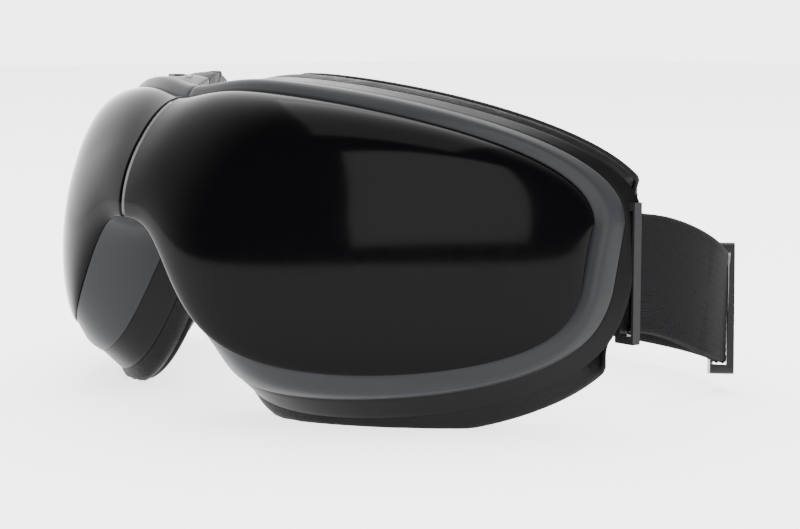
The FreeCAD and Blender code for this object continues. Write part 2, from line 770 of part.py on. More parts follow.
def write(name, shape, side=1):
    """Check one piece and write it, mirrored to the -X half if asked."""
    if side < 0:
        shape = mirrored(shape)
    shape = moved(shape, FreeCAD.Placement(Vector(0, -ORIGIN_Y, 0), FreeCAD.Rotation()))
    solids = shape.Solids
    volume = sum(solid.Volume for solid in solids)
    if not solids or not shape.isValid() or volume <= 0.0:
        print("PROBLEM", name, len(solids), shape.isValid(), volume)
    target = solids[0] if len(solids) == 1 else Part.makeCompound(solids)
    target.exportStep("parts/" + name + ".step")
    box = target.optimalBoundingBox()
    print(f"{name:26s} {len(solids)} {volume:10.1f}  x {box.XMin:7.1f} {box.XMax:7.1f}"
          f"  y {box.YMin:7.1f} {box.YMax:7.1f}  z {box.ZMin:6.1f} {box.ZMax:6.1f}")


def write_halves():
    """Everything that both halves have, with the control cut-outs on the -X half."""
    frame = frame_half()
    housing = housing_half()
    top_holes = [button_hole(x) for x in BUTTON_X]
    light_hole = top_seat(Part.makeCylinder(1.15, 8.0), LIGHT_X, lift=-6.0)
    control_holes = top_holes + [light_hole, port_hole()]
    write("front_shell_right", front_shell())
    write("front_shell_left", front_shell(), -1)
    write("mid_frame_right", frame)
    write("mid_frame_left", frame.cut(control_holes), -1)
    write("rear_housing_right", housing)
    write("rear_housing_left", housing.cut(control_holes), -1)
    makers = {
        "face_cushion": cushion_half,
        "inner_carrier": carrier_half,
        "heating_pad": heating_pad,
        "eye_airbag": eye_airbag,
        "temple_airbag": temple_airbag,
        "massage_nodes": massage_nodes,
        "case_screws": screw_group,
        "vibration_motor": vibration_motor,
        "motor_weight": motor_weight,
        "speaker": speaker,
        "strap_anchor": strap_anchor,
        "strap_side": strap_side,
    }
    for name, maker in makers.items():
        shape = maker()
        write(name + "_right", shape)
        write(name + "_left", shape, -1)
    write("hinge_knuckles_right", knuckles(1))
    write("hinge_knuckles_left", knuckles(-1))


def write_single_parts():
    write("hinge_pin", hinge_pin())
    write("bridge_cover", bridge_cover())
    write("bridge_cable", bridge_cable())
    write("bridge_hose", bridge_hose())
    write("strap_rear_band", strap_rear())
    write("strap_return_layer", strap_return())
    write("slide_adjuster", slide_adjuster())
    write("main_board", main_board())
    write("air_pump", air_pump())
    write("pump_crank", pump_crank())
    write("air_valve", air_valve())
    write("valve_plunger", valve_plunger())
    write("air_manifold", air_manifold())
    write("battery", battery(), -1)
    write("charge_board", charge_board(), -1)
    write("power_button", button(BUTTON_X[0]), -1)
    write("mode_button", button(BUTTON_X[1]), -1)
    switches = Part.makeCompound([button_switch(x) for x in BUTTON_X])
    write("button_switches", switches, -1)
    write("status_light", status_light(), -1)
    write("charge_port", charge_port(), -1)


write_halves()
write_single_parts()
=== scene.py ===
import json
import math

import bmesh
import bpy
from mathutils import Matrix, Vector


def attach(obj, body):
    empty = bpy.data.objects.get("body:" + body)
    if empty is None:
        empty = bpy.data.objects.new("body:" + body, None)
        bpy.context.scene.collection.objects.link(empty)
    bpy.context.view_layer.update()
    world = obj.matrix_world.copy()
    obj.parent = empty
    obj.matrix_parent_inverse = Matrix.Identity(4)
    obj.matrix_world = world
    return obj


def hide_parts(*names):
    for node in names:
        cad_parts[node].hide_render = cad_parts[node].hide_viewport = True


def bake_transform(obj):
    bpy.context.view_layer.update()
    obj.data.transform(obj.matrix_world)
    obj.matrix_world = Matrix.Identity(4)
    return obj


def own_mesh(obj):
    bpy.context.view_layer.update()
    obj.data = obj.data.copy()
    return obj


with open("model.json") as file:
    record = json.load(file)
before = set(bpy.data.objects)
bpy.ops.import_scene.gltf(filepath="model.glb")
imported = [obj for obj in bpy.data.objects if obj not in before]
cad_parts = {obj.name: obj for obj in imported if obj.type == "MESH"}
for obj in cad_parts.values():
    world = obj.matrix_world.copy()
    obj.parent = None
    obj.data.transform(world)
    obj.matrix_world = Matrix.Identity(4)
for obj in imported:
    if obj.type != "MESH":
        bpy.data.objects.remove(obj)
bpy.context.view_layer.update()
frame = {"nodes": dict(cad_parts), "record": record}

# Lengths in this file are in millimetres, as in the CAD part; mesh points are turned into
# metres, with the origin under the middle of the part, by place().
ORIGIN_Y = 75.55
MM = 0.001


def place(x, y, z):
    return Vector((x, y - ORIGIN_Y, z)) * MM


# ---- camera, floor and light ---------------------------------------------------------


def add_camera():
    data = bpy.data.cameras.new("camera")
    data.lens = 82.5
    data.sensor_width = 36.0
    data.clip_start = 0.01
    camera = bpy.data.objects.new("camera", data)
    bpy.context.scene.collection.objects.link(camera)
    back = Vector((0.7567, -0.6423, 0.1219)).normalized()
    camera.rotation_euler = back.to_track_quat("Z", "Y").to_euler()
    camera.location = place(429.0, -274.1, 101.75)
    bpy.context.scene.camera = camera


def add_floor():
    mesh = bpy.data.meshes.new("floor")
    size = 6.0
    corners = [(-size, -size, 0), (size, -size, 0), (size, size, 0), (-size, size, 0)]
    mesh.from_pydata(corners, [], [(0, 1, 2, 3)])
    floor = bpy.data.objects.new("floor", mesh)
    bpy.context.scene.collection.objects.link(floor)
    material, shader = new_material("floor_pale", (0.92, 0.92, 0.92), 0.9)
    shader.inputs["Specular IOR Level"].default_value = 0.0
    shader.inputs["Emission Color"].default_value = (1.0, 1.0, 1.0, 1.0)
    shader.inputs["Emission Strength"].default_value = 2.2
    mesh.materials.append(material)


def add_softbox(name, location, target, width, height, power):
    data = bpy.data.lights.new(name, "AREA")
    data.shape = "RECTANGLE"
    data.size = width
    data.size_y = height
    data.energy = power
    light = bpy.data.objects.new(name, data)
    bpy.context.scene.collection.objects.link(light)
    light.location = Vector(location)
    aim = Vector(location) - Vector(target)
    light.rotation_euler = aim.to_track_quat("Z", "Y").to_euler()


def add_world():
    """White studio behind the mask, and a dark one in front for the gloss to reflect."""
    world = bpy.data.worlds.new("studio")
    world.use_nodes = True
    tree = world.node_tree
    background = tree.nodes["Background"]
    background.inputs["Color"].default_value = (1.0, 1.0, 1.0, 1.0)
    coordinates = tree.nodes.new("ShaderNodeTexCoord")
    away = tree.nodes.new("ShaderNodeVectorMath")
    away.operation = "DOT_PRODUCT"
    away.inputs[1].default_value = (-0.757, 0.642, 0.0)
    ramp = tree.nodes.new("ShaderNodeMapRange")
    ramp.interpolation_type = "SMOOTHSTEP"
    ramp.inputs["From Min"].default_value = -0.4
    ramp.inputs["From Max"].default_value = 0.7
    ramp.inputs["To Min"].default_value = 0.1
    ramp.inputs["To Max"].default_value = 4.4
    tree.links.new(coordinates.outputs["Generated"], away.inputs[0])
    tree.links.new(away.outputs["Value"], ramp.inputs["Value"])
    tree.links.new(ramp.outputs["Result"], background.inputs["Strength"])
    bpy.context.scene.world = world


# ---- materials -----------------------------------------------------------------------


def new_material(name, color, roughness):
    material = bpy.data.materials.new(name)
    material.use_nodes = True
    shader = material.node_tree.nodes["Principled BSDF"]
    shader.inputs["Base Color"].default_value = (*color, 1.0)
    shader.inputs["Roughness"].default_value = roughness
    return material, shader


def plain_material(name, color, roughness):
    return new_material(name, color, roughness)[0]


def add_node(material, kind, **values):
    node = material.node_tree.nodes.new(kind)
    for key, value in values.items():
        node.inputs[key.replace("_", " ")].default_value = value
    return node


def link(material, source, output, target, socket):
    material.node_tree.links.new(source.outputs[output], target.inputs[socket])


def object_coordinates(material, scale=(1.0, 1.0, 1.0)):
    coordinates = add_node(material, "ShaderNodeTexCoord")
    mapping = add_node(material, "ShaderNodeMapping")
    mapping.inputs["Scale"].default_value = scale
    link(material, coordinates, "Object", mapping, "Vector")
    return mapping


def vary_roughness(material, shader, scale, low, high):
    """Uneven sheen: a noise remapped between two roughness values."""
    mapping = object_coordinates(material)
    cloud = add_node(material, "ShaderNodeTexNoise", Scale=scale, Detail=6.0, Roughness=0.6)
    ramp = add_node(material, "ShaderNodeMapRange", From_Min=0.3, From_Max=0.7,
                    To_Min=low, To_Max=high)
    link(material, mapping, "Vector", cloud, "Vector")
    link(material, cloud, "Fac", ramp, "Value")
    link(material, ramp, "Result", shader, "Roughness")


def vary_color(material, shader, scale, dark, light):
    mapping = object_coordinates(material)
    cloud = add_node(material, "ShaderNodeTexNoise", Scale=scale, Detail=4.0)
    ramp = add_node(material, "ShaderNodeValToRGB")
    ramp.color_ramp.elements[0].position = 0.3
    ramp.color_ramp.elements[1].position = 0.7
    ramp.color_ramp.elements[0].color = (*dark, 1.0)
    ramp.color_ramp.elements[1].color = (*light, 1.0)
    link(material, mapping, "Vector", cloud, "Vector")
    link(material, cloud, "Fac", ramp, "Fac")
    link(material, ramp, "Color", shader, "Base Color")


def add_bump(material, shader, texture, output, strength, distance):
    bump = add_node(material, "ShaderNodeBump", Strength=strength, Distance=distance)
    link(material, texture, output, bump, "Height")
    link(material, bump, "Normal", shader, "Normal")


def gloss_plastic():
    material, shader = new_material("shell_gloss", (0.0015, 0.0015, 0.0018), 0.1)
    shader.inputs["Specular IOR Level"].default_value = 0.06
    vary_roughness(material, shader, 180.0, 0.09, 0.13)
    return material


def satin_plastic(name, color, roughness, grain=900.0, depth=0.00003):
    """Moulded plastic with a fine spark-eroded grain and a slightly uneven sheen."""
    material, shader = new_material(name, color, roughness)
    shader.inputs["Specular IOR Level"].default_value = 0.1
    vary_roughness(material, shader, 60.0, roughness - 0.05, roughness + 0.07)
    mapping = object_coordinates(material)
    fine = add_node(material, "ShaderNodeTexNoise", Scale=grain, Detail=2.0)
    link(material, mapping, "Vector", fine, "Vector")
    add_bump(material, shader, fine, "Fac", 0.25, depth)
    return material


def leatherette(name, color):
    """Soft synthetic leather: pebbles, fine pores and a broad uneven sheen."""
    material, shader = new_material(name, color, 0.5)
    shader.inputs["Specular IOR Level"].default_value = 0.1
    shader.inputs["Sheen Weight"].default_value = 0.01
    shader.inputs["Sheen Roughness"].default_value = 0.5
    light = tuple(1.9 * part for part in color)
    vary_color(material, shader, 35.0, color, light)
    vary_roughness(material, shader, 120.0, 0.42, 0.6)
    mapping = object_coordinates(material)
    pebbles = add_node(material, "ShaderNodeTexVoronoi", Scale=950.0)
    pebbles.feature = "SMOOTH_F1"
    link(material, mapping, "Vector", pebbles, "Vector")
    add_bump(material, shader, pebbles, "Distance", 0.5, 0.00025)
    return material


def soft_rubber(name, color, roughness=0.62):
    material, shader = new_material(name, color, roughness)
    shader.inputs["Specular IOR Level"].default_value = 0.1
    vary_roughness(material, shader, 90.0, roughness - 0.06, roughness + 0.08)
    mapping = object_coordinates(material)
    fine = add_node(material, "ShaderNodeTexNoise", Scale=1400.0, Detail=3.0)
    link(material, mapping, "Vector", fine, "Vector")
    add_bump(material, shader, fine, "Fac", 0.2, 0.00004)
    return material


def knit_fabric(name, color):
    """Fine warp knit that covers the eye pads."""
    material, shader = new_material(name, color, 0.85)
    shader.inputs["Sheen Weight"].default_value = 0.35
    shader.inputs["Sheen Roughness"].default_value = 0.4
    light = tuple(2.2 * part for part in color)
    vary_color(material, shader, 220.0, color, light)
    mapping = object_coordinates(material, (1.0, 1.0, 1.4))
    loops = add_node(material, "ShaderNodeTexVoronoi", Scale=1100.0)
    link(material, mapping, "Vector", loops, "Vector")
    add_bump(material, shader, loops, "Distance", 0.8, 0.0004)
    return material


def webbing_fabric(name, color):
    """Woven elastic: two sets of slanting yarns on the UV map, in millimetres."""
    material, shader = new_material(name, color, 0.85)
    shader.inputs["Specular IOR Level"].default_value = 0.05
    shader.inputs["Sheen Weight"].default_value = 0.02
    shader.inputs["Sheen Roughness"].default_value = 0.4
    coordinates = add_node(material, "ShaderNodeTexCoord")
    waves = []
    for slant in (1.0, -1.0):
        along = add_node(material, "ShaderNodeMapping")
        along.inputs["Scale"].default_value = (0.78, 0.78 * slant, 1.0)
        link(material, coordinates, "UV", along, "Vector")
        wave = add_node(material, "ShaderNodeTexWave", Scale=1.0, Distortion=0.15)
        wave.bands_direction = "DIAGONAL"
        link(material, along, "Vector", wave, "Vector")
        waves.append(wave)
    yarn = add_node(material, "ShaderNodeTexNoise", Scale=2.2, Detail=5.0)
    link(material, coordinates, "UV", yarn, "Vector")
    weave = add_node(material, "ShaderNodeMath")
    weave.operation = "MULTIPLY"
    link(material, waves[0], "Fac", weave, 0)
    link(material, waves[1], "Fac", weave, 1)
    blend = add_node(material, "ShaderNodeMath")
    blend.operation = "MULTIPLY"
    link(material, weave, "Value", blend, 0)
    link(material, yarn, "Fac", blend, 1)
    ramp = add_node(material, "ShaderNodeValToRGB")
    ramp.color_ramp.elements[1].position = 0.5
    ramp.color_ramp.elements[0].color = (*tuple(0.6 * part for part in color), 1.0)
    ramp.color_ramp.elements[1].color = (*tuple(2.2 * part for part in color), 1.0)
    link(material, blend, "Value", ramp, "Fac")
    link(material, ramp, "Color", shader, "Base Color")
    add_bump(material, shader, weave, "Value", 0.5, 0.0002)
    return material


def brushed_metal(name, color, roughness=0.3):
    material, shader = new_material(name, color, roughness)
    shader.inputs["Metallic"].default_value = 1.0
    mapping = object_coordinates(material, (40.0, 40.0, 900.0))
    grain = add_node(material, "ShaderNodeTexNoise", Scale=1.0, Detail=4.0)
    ramp = add_node(material, "ShaderNodeMapRange", From_Min=0.3, From_Max=0.7,
                    To_Min=roughness - 0.08, To_Max=roughness + 0.1)
    link(material, mapping, "Vector", grain, "Vector")
    link(material, grain, "Fac", ramp, "Value")
    link(material, ramp, "Result", shader, "Roughness")
    return material


def circuit_board(name):
    """Green solder mask with lighter tracks and pads."""
    material, shader = new_material(name, (0.01, 0.1, 0.035), 0.35)
    mapping = object_coordinates(material)
    tracks = add_node(material, "ShaderNodeTexBrick", Scale=260.0)
    tracks.inputs["Color1"].default_value = (0.008, 0.085, 0.03, 1.0)
    tracks.inputs["Color2"].default_value = (0.012, 0.11, 0.04, 1.0)
    tracks.inputs["Mortar"].default_value = (0.03, 0.2, 0.07, 1.0)
    link(material, mapping, "Vector", tracks, "Vector")
    link(material, tracks, "Color", shader, "Base Color")
    return material


def frosted_light(name):
    material, shader = new_material(name, (0.8, 0.87, 0.95), 0.35)
    shader.inputs["Transmission Weight"].default_value = 0.6
    vary_roughness(material, shader, 300.0, 0.3, 0.45)
    return material


def make_materials():
    return {
        "shell_gloss": gloss_plastic(),
        "frame_grey": satin_plastic("frame_grey", (0.02, 0.021, 0.023), 0.34),
        "housing_black": satin_plastic("housing_black", (0.003, 0.003, 0.0033), 0.34),
        "cushion_leather": leatherette("cushion_leather", (0.0028, 0.0028, 0.003)),
        "inner_plastic": satin_plastic("inner_plastic", (0.05, 0.05, 0.053), 0.5),
        "heater_film": soft_rubber("heater_film", (0.30, 0.14, 0.04), 0.5),
        "airbag_skin": knit_fabric("airbag_skin", (0.02, 0.02, 0.022)),
        "node_rubber": soft_rubber("node_rubber", (0.03, 0.03, 0.032)),
        "screw_steel": brushed_metal("screw_steel", (0.6, 0.6, 0.61)),
        "motor_steel": brushed_metal("motor_steel", (0.55, 0.55, 0.56), 0.26),
        "weight_brass": brushed_metal("weight_brass", (0.72, 0.55, 0.25), 0.3),
        "strap_plastic": satin_plastic("strap_plastic", (0.012, 0.012, 0.013), 0.3),
        "strap_fabric": webbing_fabric("strap_fabric", (0.006, 0.0057, 0.0063)),
        "hinge_plastic": satin_plastic("hinge_plastic", (0.02, 0.02, 0.021), 0.42),
        "bridge_rubber": soft_rubber("bridge_rubber", (0.003, 0.003, 0.0033)),
        "cable_film": soft_rubber("cable_film", (0.012, 0.012, 0.013), 0.4),
        "hose_rubber": soft_rubber("hose_rubber", (0.016, 0.016, 0.017), 0.4),
        "board_green": circuit_board("board_green"),
        "battery_wrap": satin_plastic("battery_wrap", (0.03, 0.08, 0.3), 0.25),
        "button_plastic": satin_plastic("button_plastic", (0.02, 0.02, 0.022), 0.4),
        "light_clear": frosted_light("light_clear"),
        "port_metal": brushed_metal("port_metal", (0.7, 0.7, 0.71), 0.18),
    }


def paint_cad_nodes(materials):
    """Give every CAD node that stays the procedural material of its slot."""
    for part in frame["record"]["subparts"]:
        node = frame["nodes"][part["node"]]
        node.data.materials.clear()
        node.data.materials.append(materials[part["material_slot"]])


# ---- the wrapped form of the mask ------------------------------------------------------
FRONT_Y = -12.2
LEAN = 0.242
WRAP = 61.8
WRAP_TAIL = 16.6
CENTRE_Z = 50.0
HINGE_Y = 15.0
FOLD_SLOPE = math.tan(math.radians(41.0))
CROWN_CENTRE = 8.0
CROWN_SIDE = 14.3
CROWN_X = 45.0
CROWN_SQUARE = 2.4
TOP_SQUARE = 2.35
HEATER_LIFT = 2.4
PAD_THICK = 6.5
NODE_SEATS = ((34, 61), (44, 65), (55, 62), (36, 48), (45, 42), (55, 45))
BUTTON_X = (28.0, 40.5)
LIGHT_X = 18.0
PORT_X = 62.0
STRAP_WIDTH = 32.0
STRAP_THICK = 1.4
STRAP_HALF_SPAN = 101.0
STRAP_START_Y = 84.0
STRAP_LOOP_DEPTH = 76.0
STRAP_SQUARENESS = 3.2
STRAP_TOP_Z = 40.0
STRAP_LOW_Z = 22.0
SIDE_START_Y = 87.0
SIDE_END_Y = 118.0
ADJUSTER_Y = 140.0
LAYER_OFFSET = 1.9


def smooth(value):
    value = min(max(value, 0.0), 1.0)
    return value * value * (3.0 - 2.0 * value)


def middle_y(x, z):
    reach = abs(x) / 100.0
    return FRONT_Y + LEAN * z + WRAP * reach**2 + WRAP_TAIL * reach**4


RING_FIELDS = ("half_width", "rise", "drop", "square", "back", "back_temple",
               "notch_width", "notch_top", "push", "deepen", "roll", "seam", "wrap_width",
               "top_square")


class Ring:
    """One closed outline of a half, the same as in the CAD part."""

    def __init__(self, half_width, rise, drop, square, back, back_temple,
                 notch_width, notch_top, push=0.0, deepen=0.0, roll=0.0, seam=0.15,
                 wrap_width=None, top_square=TOP_SQUARE):
        values = (half_width, rise, drop, square, back, back_temple, notch_width,
                  notch_top, push, deepen, roll, seam, wrap_width or half_width, top_square)
        for name, value in zip(RING_FIELDS, values):
            setattr(self, name, value)

    def values(self):
        return [getattr(self, name) for name in RING_FIELDS]

    def changed(self, **changes):
        ring = Ring(*self.values())
        for name, change in changes.items():
            setattr(ring, name, getattr(ring, name) + change)
        return ring

    def inset(self, wall, back=0.0):
        return self.changed(half_width=-wall, rise=-wall, drop=-wall, back=back,
                            back_temple=back, notch_width=0.6 * wall, notch_top=wall,
                            seam=wall, wrap_width=-wall)

    def end_x(self):
        return 0.9985 * self.half_width

    def top_z(self, x):
        reach = (1.0 - (x / self.half_width)**self.top_square)**(1.0 / self.top_square)
        return CENTRE_Z + self.rise * reach - 3.0 * math.exp(-(x / 15.0)**2)

    def bottom_z(self, x):
        reach = (1.0 - (x / self.half_width)**self.square)**(1.0 / self.square)
        floor = CENTRE_Z - self.drop
        notch = (self.notch_top - floor) / (1.0 + (x / self.notch_width)**3)
        return CENTRE_Z - self.drop * reach + notch

    def surface_y(self, x, z):
        part = (x / self.half_width)**2
        shift = self.back + (self.back_temple - self.back) * part
        return middle_y(100.0 * x / self.wrap_width, z) + shift

    def top_point(self, x):
        z = self.top_z(x)
        y = self.surface_y(x, z) + self.roll * math.exp(-(x / 45.0)**2)
        return Vector((x, y, z))

    def bottom_point(self, x):
        z = self.bottom_z(x)
        y = self.surface_y(x, z)
        y -= self.push * math.exp(-(x / 45.0)**2)
        y += self.deepen * math.exp(-(x / 30.0)**2)
        return Vector((x, y, z))


def blended_ring(rings, position):
    """Ring at a position along a list of rings, eased through each of them."""
    index = min(int(position), len(rings) - 2)
    t = position - index
    before = rings[max(index - 1, 0)].values()
    low = rings[index].values()
    high = rings[index + 1].values()
    after = rings[min(index + 2, len(rings) - 1)].values()
    values = []
    for a, b, c, d in zip(before, low, high, after):
        slope_low = 0.5 * (c - a)
        slope_high = 0.5 * (d - b)
        values.append((2 * t**3 - 3 * t**2 + 1) * b + (t**3 - 2 * t**2 + t) * slope_low
                      + (-2 * t**3 + 3 * t**2) * c + (t**3 - t**2) * slope_high)
    return Ring(*values)


SHELL_EDGE = Ring(97.5, 39.0, 38.0, 5.0, 0.0, 0.0, 25.2, 53.6, push=9.7, roll=3.6,
                  wrap_width=100.0)
BEVEL_EDGE = Ring(100.2, 41.7, 43.0, 4.8, 5.5, 3.0, 23.5, 51.6, push=8.0, deepen=2.0,
                  wrap_width=103.0)
FRAME_REAR = Ring(100.8, 41.9, 43.8, 4.6, 9.0, 8.1, 17.0, 51.0, push=4.0, deepen=8.0,
                  wrap_width=103.3)
HOUSING_REAR = Ring(102.5, 42.3, 49.5, 4.4, 17.5, 13.0, 15.5, 50.2, push=2.0, deepen=8.0,
                    wrap_width=105.0)
CUSHION_RIM = Ring(103.5, 43.0, 55.0, 4.4, 23.0, 15.5, 15.5, 49.8, deepen=6.0,
                   wrap_width=106.0)
CUSHION_SHOULDER = Ring(101.5, 41.0, 50.5, 4.4, 30.0, 18.0, 17.5, 51.0, deepen=5.0,
                        wrap_width=104.0)
CUSHION_REAR = Ring(95.0, 36.0, 44.0, 4.4, 37.0, 19.5, 21.0, 54.0, deepen=4.0,
                    wrap_width=97.0)
EYE_FLOOR = Ring(82.0, 27.0, 31.0, 3.4, 18.4, 15.9, 27.0, 60.0, deepen=6.0, seam=15.0,
                 wrap_width=105.0, top_square=3.0)
EYE_MOUTH = Ring(85.0, 28.0, 34.5, 3.4, 37.0, 23.0, 29.0, 59.0, seam=14.0,
                 wrap_width=97.0, top_square=3.0)


def crown_height(x, t, end_x):
    grow = CROWN_CENTRE + (CROWN_SIDE - CROWN_CENTRE) * smooth(x / CROWN_X)
    fade = (1.0 - (x / (end_x + 0.01))**5)**0.4
    spot = 2.0 * t**1.5 - 1.0
    if spot > 0.0:
        profile = (1.0 - spot**CROWN_SQUARE)**(1.0 / CROWN_SQUARE)
    else:
        profile = (1.0 - spot**2)**0.5
    return grow * fade * profile


def column_x(ring, column, columns):
    start = ring.seam
    return start + (ring.end_x() - start) * math.sin(0.5 * math.pi * column / columns)


# ---- mesh helpers ----------------------------------------------------------------------


def folded_clear(point):
    """Keep a point out of the wedge that closes when a half folds in."""
    if point.y > HINGE_Y:
        limit = 0.35 + (point.y - HINGE_Y) * FOLD_SLOPE
        point.x = max(point.x, limit)
    return point


def new_object(name, verts, faces, material):
    mesh = bpy.data.meshes.new(name)
    mesh.from_pydata([place(*v) for v in verts], [], faces)
    mesh.update()
    obj = bpy.data.objects.new(name, mesh)
    bpy.context.scene.collection.objects.link(obj)
    obj.data.materials.append(material)
    for polygon in mesh.polygons:
        polygon.use_smooth = True
    recalculate(obj)
    return obj


def recalculate(obj):
    work = bmesh.new()
    work.from_mesh(obj.data)
    bmesh.ops.remove_doubles(work, verts=work.verts, dist=1e-6)
    bmesh.ops.recalc_face_normals(work, faces=work.faces)
    work.to_mesh(obj.data)
    work.free()


def apply_modifiers(obj):
    depsgraph = bpy.context.evaluated_depsgraph_get()
    evaluated = obj.evaluated_get(depsgraph)
    mesh = bpy.data.meshes.new_from_object(evaluated)
    obj.modifiers.clear()
    old = obj.data
    obj.data = mesh
    bpy.data.meshes.remove(old)


def mirror_copy(obj, name):
    """Copy of a piece for the -X half, with its faces turned the right way again."""
    copy = obj.copy()
    copy.data = obj.data.copy()
    copy.name = name
    copy.data.transform(Matrix.Scale(-1.0, 4, Vector((1.0, 0.0, 0.0))))
    copy.data.flip_normals()
    bpy.context.scene.collection.objects.link(copy)
    return copy


def both_halves(obj, base, *nodes):
    """Name a right-hand piece, copy it to the left, and let each ride on its half."""
    obj.name = base + "_right_look"
    left = mirror_copy(obj, base + "_left_look")
    for piece, side in ((obj, "right"), (left, "left")):
        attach(piece, side + "_half")
        for node in nodes:
            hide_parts(node + "_" + side)
    return obj, left


def soften_edges(obj, width, angle=35.0, segments=3):
    bevel = obj.modifiers.new("bevel", "BEVEL")
    bevel.width = width * MM
    bevel.segments = segments
    bevel.limit_method = "ANGLE"
    bevel.angle_limit = math.radians(angle)
    bevel.harden_normals = False
    apply_modifiers(obj)


def outline_points(ring, columns, end_rows, seam_rows):
    """Points once round a ring: lower edge, temple end, upper edge and seam."""
    lower = [ring.bottom_point(column_x(ring, c, columns)) for c in range(columns + 1)]
    upper = [ring.top_point(column_x(ring, c, columns)) for c in range(columns + 1)]
    temple = [lower[-1].lerp(upper[-1], r / end_rows) for r in range(1, end_rows)]
    seam = [upper[0].lerp(lower[0], r / seam_rows) for r in range(1, seam_rows)]
    return lower + temple + upper[::-1] + seam


def loft(name, loops, material, clear=True, wrap=False):
    """Quads between loops of points; wrap joins the last loop to the first."""
    count = len(loops[0])
    verts = [point.copy() for loop in loops for point in loop]
    if clear:
        verts = [folded_clear(point) for point in verts]
    faces = []
    spans = len(loops) if wrap else len(loops) - 1
    for a in range(spans):
        b = (a + 1) % len(loops)
        for i in range(count):
            j = (i + 1) % count
            faces.append((a * count + i, a * count + j, b * count + j, b * count + i))
    return new_object(name, verts, faces, material)


# ---- hard parts ------------------------------------------------------------------------


def face_grid(ring, columns, rows, height):
    """Points and quads spanned across a ring, moved along Y by height(x, z, t)."""
    verts = []
    for column in range(columns + 1):
        x = column_x(ring, column, columns)
        low = ring.bottom_point(x)
        high = ring.top_point(x)
        for row in range(rows + 1):
            t = 0.5 - 0.5 * math.cos(math.pi * row / rows)
            point = low.lerp(high, t)
            point.y += height(point.x, point.z, t)
            verts.append(point)
    faces = []
    for column in range(columns):
        for row in range(rows):
            a = column * (rows + 1) + row
            b = a + rows + 1
            faces.append((a, b, b + 1, a + 1))
    return verts, faces


def thicken(obj, wall, offset=-1.0):
    layer = obj.modifiers.new("wall", "SOLIDIFY")
    layer.thickness = wall * MM
    layer.offset = offset
    layer.use_even_offset = False
    apply_modifiers(obj)


def make_front_shell(materials):
    """Crowned glossy shell, with a thin wall and a rounded rim."""
    end_x = SHELL_EDGE.end_x()
    verts, faces = face_grid(SHELL_EDGE, 110, 96, lambda x, z, t: -crown_height(x, t, end_x))
    shell = new_object("front_shell", verts, faces, materials["shell_gloss"])
    thicken(shell, 1.4)
    return both_halves(shell, "front_shell", "front_shell")


def eased_rings(rings, steps):
    """Rings and the eased ones between them, as many steps apart as asked."""
    spans = (len(rings) - 1) * steps
    return [blended_ring(rings, k / steps) for k in range(spans + 1)]


def outlines(rings, columns=72, end_rows=14, seam_rows=14):
    return [outline_points(ring, columns, end_rows, seam_rows) for ring in rings]


def make_mid_frame(materials):
    """Satin band behind the shell: a convex outer wall, and a plain inner one."""
    front = SHELL_EDGE.changed(back=0.35, back_temple=0.35)
    outer = eased_rings([front, BEVEL_EDGE, FRAME_REAR], 4)
    inner = [FRAME_REAR.inset(2.4), BEVEL_EDGE.inset(2.4), front.inset(2.4)]
    frame_band = loft("mid_frame", outlines(outer + inner), materials["frame_grey"],
                      wrap=True)
    soften_edges(frame_band, 0.5, angle=50.0)
    return both_halves(frame_band, "mid_frame", "mid_frame")


def band_middle_y(x, z):
    return 0.5 * (FRAME_REAR.surface_y(x, z) + HOUSING_REAR.surface_y(x, z))


def turn_at(x):
    reach = x / 100.0
    return math.atan((2.0 * WRAP * reach + 4.0 * WRAP_TAIL * reach**3) / 100.0)


def pill_cutter(x, z, length, width, z_low, z_high):
    """Upright prism with rounded ends, on the -X half, to cut an opening with."""
    count = 12
    outline = []
    for index in range(count + 1):
        angle = -0.5 * math.pi + math.pi * index / count
        outline.append((0.5 * (length - width) + 0.5 * width * math.cos(angle),
                        0.5 * width * math.sin(angle)))
    outline += [(-u, -v) for u, v in outline]
    turn = turn_at(x)
    middle = band_middle_y(x, z)
    verts = []
    for height in (z_low, z_high):
        for u, v in outline:
            across = u * math.cos(turn) - v * math.sin(turn)
            deep = u * math.sin(turn) + v * math.cos(turn)
            verts.append(Vector((-(x + across), middle + deep, z + height)))
    size = len(outline)
    faces = [tuple(range(size)), tuple(range(size, 2 * size))]
    for i in range(size):
        j = (i + 1) % size
        faces.append((i, j, size + j, size + i))
    mesh = bpy.data.meshes.new("cutter")
    mesh.from_pydata([place(*v) for v in verts], [], faces)
    cutter = bpy.data.objects.new("cutter", mesh)
    bpy.context.scene.collection.objects.link(cutter)
    recalculate(cutter)
    return cutter


def cut_openings(obj, cutters):
    for cutter in cutters:
        modifier = obj.modifiers.new("opening", "BOOLEAN")
        modifier.operation = "DIFFERENCE"
        modifier.solver = "EXACT"
        modifier.object = cutter
    apply_modifiers(obj)
    for cutter in cutters:
        bpy.data.objects.remove(cutter)


def control_cutters():
    cutters = []
    for x in BUTTON_X:
        cutters.append(pill_cutter(x, HOUSING_REAR.top_z(x), 10.7, 4.1, -7.0, 3.0))
    cutters.append(pill_cutter(LIGHT_X, HOUSING_REAR.top_z(LIGHT_X), 2.4, 2.35, -7.0, 3.0))
    port_z = 0.5 * (FRAME_REAR.bottom_z(PORT_X) + HOUSING_REAR.bottom_z(PORT_X))
    cutters.append(pill_cutter(PORT_X, port_z, 10.7, 5.0, -6.0, 8.2))
    return cutters


def make_rear_housing(materials):
    """Black band between the frame and the cushion, with the control openings."""
    front = FRAME_REAR.changed(back=0.2, back_temple=0.2)
    outer = eased_rings([front, HOUSING_REAR], 4)
    inner = [HOUSING_REAR.inset(6.0), front.inset(4.0)]
    band = loft("rear_housing", outlines(outer + inner), materials["housing_black"],
                wrap=True)
    soften_edges(band, 0.5, angle=50.0)
    right, left = both_halves(band, "rear_housing", "rear_housing")
    cut_openings(left, control_cutters())


